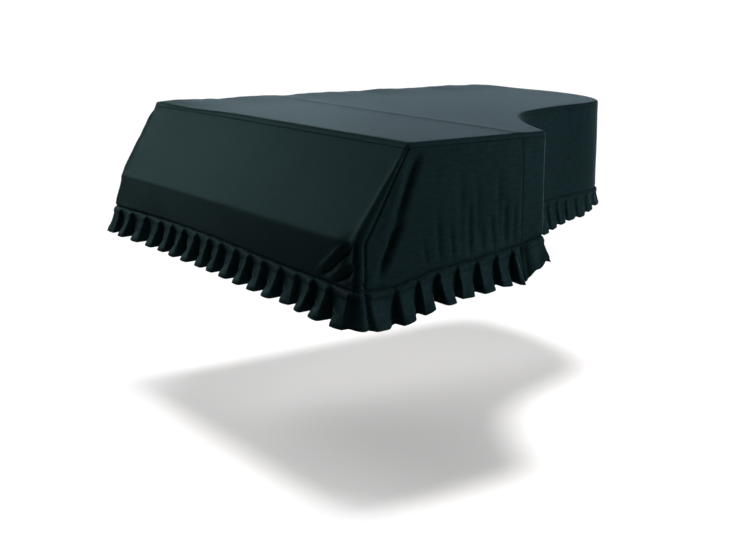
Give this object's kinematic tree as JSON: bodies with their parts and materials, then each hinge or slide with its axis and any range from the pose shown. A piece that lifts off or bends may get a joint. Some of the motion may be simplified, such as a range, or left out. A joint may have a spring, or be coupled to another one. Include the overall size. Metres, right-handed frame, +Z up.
{
  "type": "grand piano cover",
  "caption": "Fitted black-green cloth cover for a grand piano: flat top with a cross seam, sloping front, hanging side panels and a gathered frill round the whole lower edge.",
  "frame": {"origin": "on the underside of the cover's top, above the middle of the lid that it lies on", "axes": "+Z up; +Y from the keyboard side back to the tail; +X towards the treble side, where the curved edge is"},
  "size_m": [1.6009, 1.7728, 0.4978],
  "materials": {
    "panel_cloth": "matte dense plain weave, black with a green cast",
    "frill_cloth": "the same cloth, gathered"
  },
  "bodies": {
    "root": {"top_front": "panel_cloth", "top_rear": "panel_cloth", "front_panel": "panel_cloth", "treble_panel": "panel_cloth", "tail_panel": "panel_cloth", "spine_panel": "panel_cloth", "frill_front": "frill_cloth", "frill_treble": "frill_cloth", "frill_tail": "frill_cloth", "frill_spine": "frill_cloth"}
  },
  "joints": []
}
